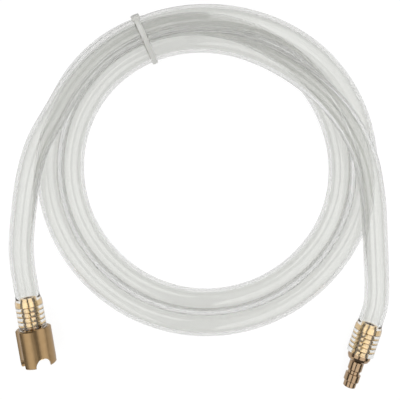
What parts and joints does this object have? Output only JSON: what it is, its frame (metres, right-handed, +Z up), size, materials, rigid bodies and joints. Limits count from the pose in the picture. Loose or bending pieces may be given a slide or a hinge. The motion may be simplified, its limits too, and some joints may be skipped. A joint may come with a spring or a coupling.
{
  "type": "water level hose",
  "caption": "Clear hose wound in a flat coil and held by a tie, with a brass quick-release socket and plug on its ends, for levelling with water.",
  "frame": {"origin": "centre of the coiled hose's bounding box, on the floor that it lies on", "axes": "+Z up from the floor; -Y towards the open ends with the socket and the plug; +X towards the plug's side"},
  "size_m": [0.2208, 0.2248, 0.0324],
  "materials": {
    "clear_hose": "clear soft plastic",
    "nylon": "natural nylon",
    "polished_brass": "turned, bright",
    "satin_brass": "satin",
    "steel": "bright",
    "seal_rubber": "matte"
  },
  "bodies": {
    "hose": {"hose_coil": "clear_hose", "left_hose_leg": "clear_hose", "right_hose_leg": "clear_hose", "cable_tie": "nylon", "plug_nipple": "polished_brass", "socket_tail": "polished_brass", "socket_body": "polished_brass", "sleeve_retaining_ring": "steel", "plug_seal": "seal_rubber", "valve_spring": "steel"},
    "sleeve_turner": {"sleeve_spring": "steel"},
    "sleeve": {"release_sleeve": "satin_brass"},
    "ball_1": {"locking_ball_1": "steel"},
    "ball_2": {"locking_ball_2": "steel"},
    "ball_3": {"locking_ball_3": "steel"},
    "ball_4": {"locking_ball_4": "steel"},
    "poppet": {"valve_poppet": "polished_brass", "valve_seal": "seal_rubber"}
  },
  "joints": [
    {"name": "sleeve_spin", "type": "hinge", "parent": "hose", "child": "sleeve_turner", "pos_m": [-0.09578, -0.08588, 0.01129], "axis": [0.1455, -0.9855, -0.0872], "continuous": true},
    {"name": "sleeve_slide", "type": "slide", "parent": "sleeve_turner", "child": "sleeve", "axis": [-0.1455, 0.9855, 0.0872], "range_m": [0, 0.003], "stiffness_N_per_m": 600, "springref_m": -0.004, "deforming": ["sleeve_spring"]},
    {"name": "ball_1_slide", "type": "slide", "parent": "hose", "child": "ball_1", "axis": [0.8545, 0.0808, 0.5131], "range_m": [0, 0.00095]},
    {"name": "ball_2_slide", "type": "slide", "parent": "hose", "child": "ball_2", "axis": [0.4986, 0.1491, -0.8539], "range_m": [0, 0.00095]},
    {"name": "ball_3_slide", "type": "slide", "parent": "hose", "child": "ball_3", "axis": [-0.8545, -0.0808, -0.5131], "range_m": [0, 0.00095]},
    {"name": "ball_4_slide", "type": "slide", "parent": "hose", "child": "ball_4", "axis": [-0.4986, -0.1491, 0.8539], "range_m": [0, 0.00095]},
    {"name": "valve_slide", "type": "slide", "parent": "hose", "child": "poppet", "axis": [-0.1455, 0.9855, 0.0872], "range_m": [0, 0.0024], "stiffness_N_per_m": 500, "springref_m": -0.003, "deforming": ["valve_spring"]}
  ],
  "couplings": [
    {"joint": "ball_1_slide", "follows": "sleeve_slide", "ratio": 0.31667},
    {"joint": "ball_2_slide", "follows": "sleeve_slide", "ratio": 0.31667},
    {"joint": "ball_3_slide", "follows": "sleeve_slide", "ratio": 0.31667},
    {"joint": "ball_4_slide", "follows": "sleeve_slide", "ratio": 0.31667}
  ]
}
